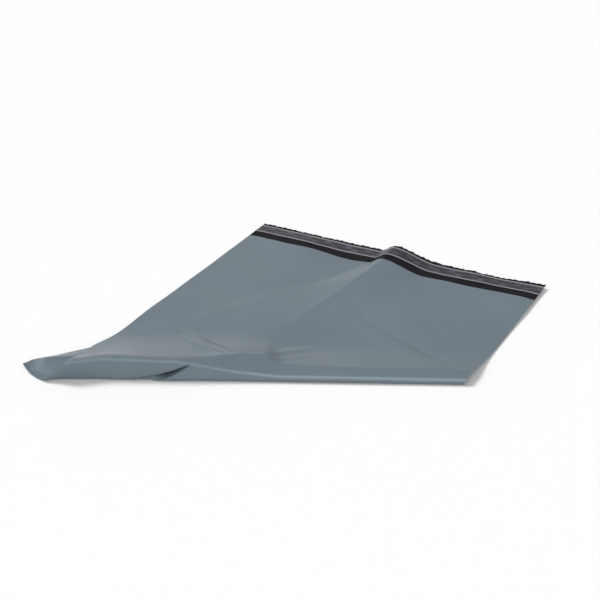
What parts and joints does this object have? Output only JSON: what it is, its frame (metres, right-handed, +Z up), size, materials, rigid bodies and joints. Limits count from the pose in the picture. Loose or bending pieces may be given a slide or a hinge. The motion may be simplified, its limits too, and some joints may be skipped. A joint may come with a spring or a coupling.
{
  "type": "poly mailer bag",
  "caption": "Flat courier bag of thin grey film with a serrated flap, an adhesive closure under a release liner, and its closed end turned under at a slant.",
  "frame": {"origin": "middle of the box's foot, on the surface that the bag lies on", "axes": "+X across the bag, +Y from the closed end to the flap, +Z up from the surface"},
  "size_m": [0.3988, 0.4102, 0.0214],
  "materials": {
    "grey_film": "satin polyethylene film, grey outside and black inside",
    "hot_melt": "soft, tacky",
    "liner_film": "silicone-coated film with a fine printed pattern"
  },
  "bodies": {
    "root": {"bag": "grey_film", "adhesive_strip": "hot_melt", "release_liner": "liner_film"}
  },
  "joints": []
}
